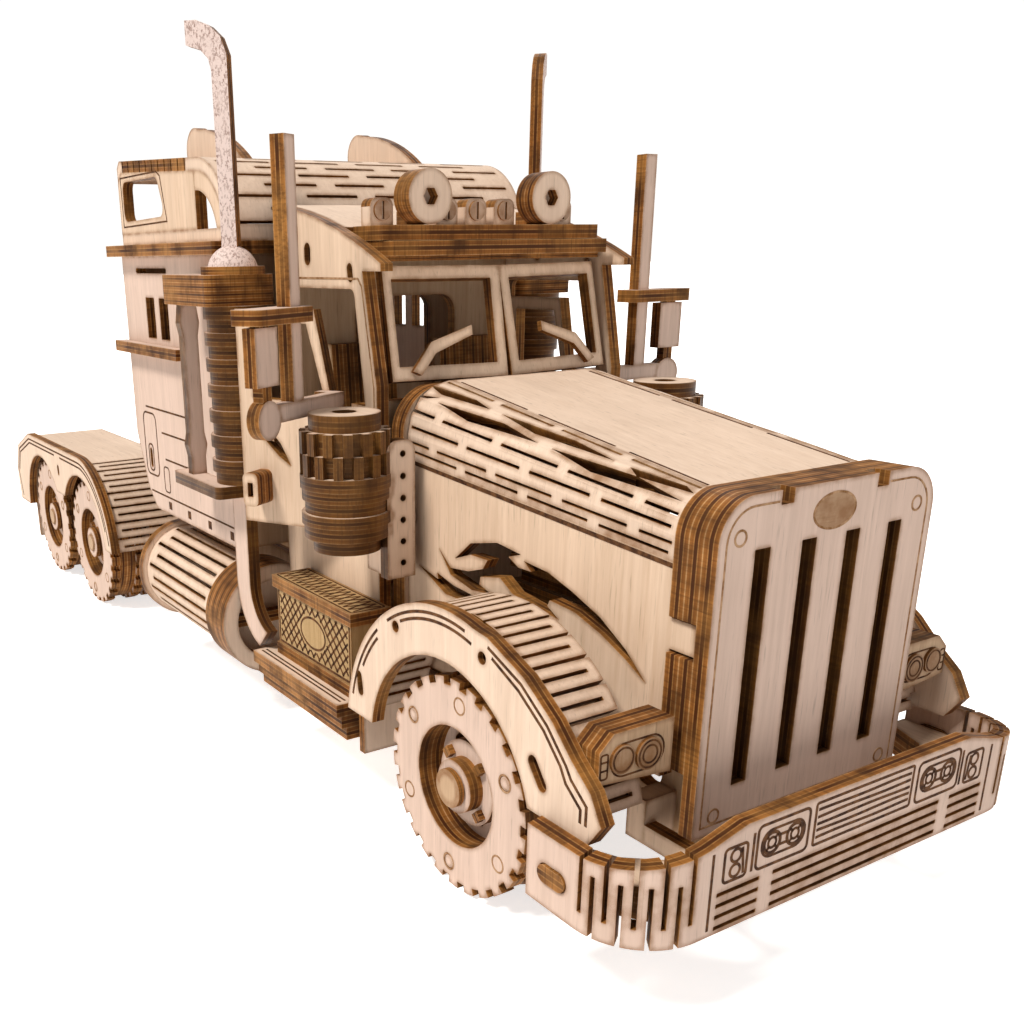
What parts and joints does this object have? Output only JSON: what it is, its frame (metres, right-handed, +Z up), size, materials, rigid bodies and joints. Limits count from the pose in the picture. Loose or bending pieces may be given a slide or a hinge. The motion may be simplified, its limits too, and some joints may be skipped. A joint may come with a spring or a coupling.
{
  "type": "wooden 3d jigsaw model",
  "caption": "Laser-cut plywood kit model of a conventional sleeper tractor truck with a tilting hood, hinged cab doors, turning wheels and a tilting coupling plate.",
  "frame": {"origin": "on the ground under the middle plane, below the front of the sleeper", "axes": "+Z up, -Y towards the front of the truck, +X towards its left side"},
  "size_m": [0.09, 0.2511, 0.1122],
  "materials": {
    "pale ply": "matte laser-cut plywood",
    "mid ply": "matte laser-cut plywood",
    "dark ply": "matte laser-cut plywood"
  },
  "bodies": {
    "truck": {"air_cleaner_left": "mid ply", "air_cleaner_right": "mid ply", "bumper_brackets": "dark ply", "bumper_skin": "pale ply", "cab_floor": "dark ply", "cab_rear_wall": "dark ply", "cab_roof": "pale ply", "cab_side_left": "pale ply", "cab_side_right": "pale ply", "cowl": "mid ply", "cross_members": "dark ply", "dashboard": "dark ply", "engine": "dark ply", "exhaust_left": "mid ply", "exhaust_right": "mid ply", "fifth_wheel_base": "mid ply", "frame_rail_left": "dark ply", "frame_rail_right": "dark ply", "front_axle": "dark ply", "fuel_tank_left": "mid ply", "fuel_tank_right": "mid ply", "hood_hinge": "dark ply", "rear_fender_left": "mid ply", "rear_fender_right": "mid ply", "roof_fins": "pale ply", "roof_lights": "pale ply", "seats": "dark ply", "sleeper_cap_sides": "pale ply", "sleeper_ledge": "mid ply", "sleeper_roof": "mid ply", "sleeper_side_left": "pale ply", "sleeper_side_right": "pale ply", "sleeper_walls": "dark ply", "step_left": "mid ply", "step_right": "mid ply", "sun_visor": "pale ply", "windshield": "pale ply"},
    "hood": {"hood_top": "pale ply", "hood_shoulder_left": "pale ply", "hood_shoulder_right": "pale ply", "hood_side_left": "pale ply", "hood_side_right": "pale ply", "grille_panel": "pale ply", "grille_layers": "dark ply", "headlights": "pale ply", "front_fender_left": "pale ply", "front_fender_right": "pale ply"},
    "front_wheel_left": {"front_wheel_left": "mid ply"},
    "front_wheel_right": {"front_wheel_right": "mid ply"},
    "drive_front": {"drive_axle_front": "dark ply", "drive_wheel_front_left": "mid ply", "drive_wheel_front_right": "mid ply"},
    "drive_rear": {"drive_axle_rear": "dark ply", "drive_wheel_rear_left": "mid ply", "drive_wheel_rear_right": "mid ply"},
    "door_left": {"door_left": "pale ply", "mirror_left": "mid ply"},
    "door_right": {"door_right": "pale ply", "mirror_right": "mid ply"},
    "fifth_wheel": {"fifth_wheel_plate": "mid ply"}
  },
  "joints": [
    {"name": "hood_tilt", "type": "hinge", "parent": "truck", "child": "hood", "pos_m": [0, -0.103, 0.014], "axis": [1, 0, 0], "range_deg": [0, 20]},
    {"name": "front_wheel_left_spin", "type": "hinge", "parent": "truck", "child": "front_wheel_left", "pos_m": [0, -0.0776, 0.0147], "axis": [1, 0, 0], "continuous": true},
    {"name": "front_wheel_right_spin", "type": "hinge", "parent": "truck", "child": "front_wheel_right", "pos_m": [0, -0.0776, 0.0147], "axis": [1, 0, 0], "continuous": true},
    {"name": "drive_front_spin", "type": "hinge", "parent": "truck", "child": "drive_front", "pos_m": [0, 0.0755, 0.0147], "axis": [1, 0, 0], "continuous": true},
    {"name": "drive_rear_spin", "type": "hinge", "parent": "truck", "child": "drive_rear", "pos_m": [0, 0.1095, 0.0147], "axis": [1, 0, 0], "continuous": true},
    {"name": "door_left_swing", "type": "hinge", "parent": "truck", "child": "door_left", "pos_m": [0.022, -0.041, 0], "axis": [0, 0, -1], "range_deg": [0, 34]},
    {"name": "door_right_swing", "type": "hinge", "parent": "truck", "child": "door_right", "pos_m": [-0.022, -0.041, 0], "axis": [0, 0, 1], "range_deg": [-29, 5]},
    {"name": "fifth_wheel_tilt", "type": "hinge", "parent": "truck", "child": "fifth_wheel", "pos_m": [0, 0.0925, 0.0278], "axis": [1, 0, 0], "range_deg": [-8, 8]}
  ]
}
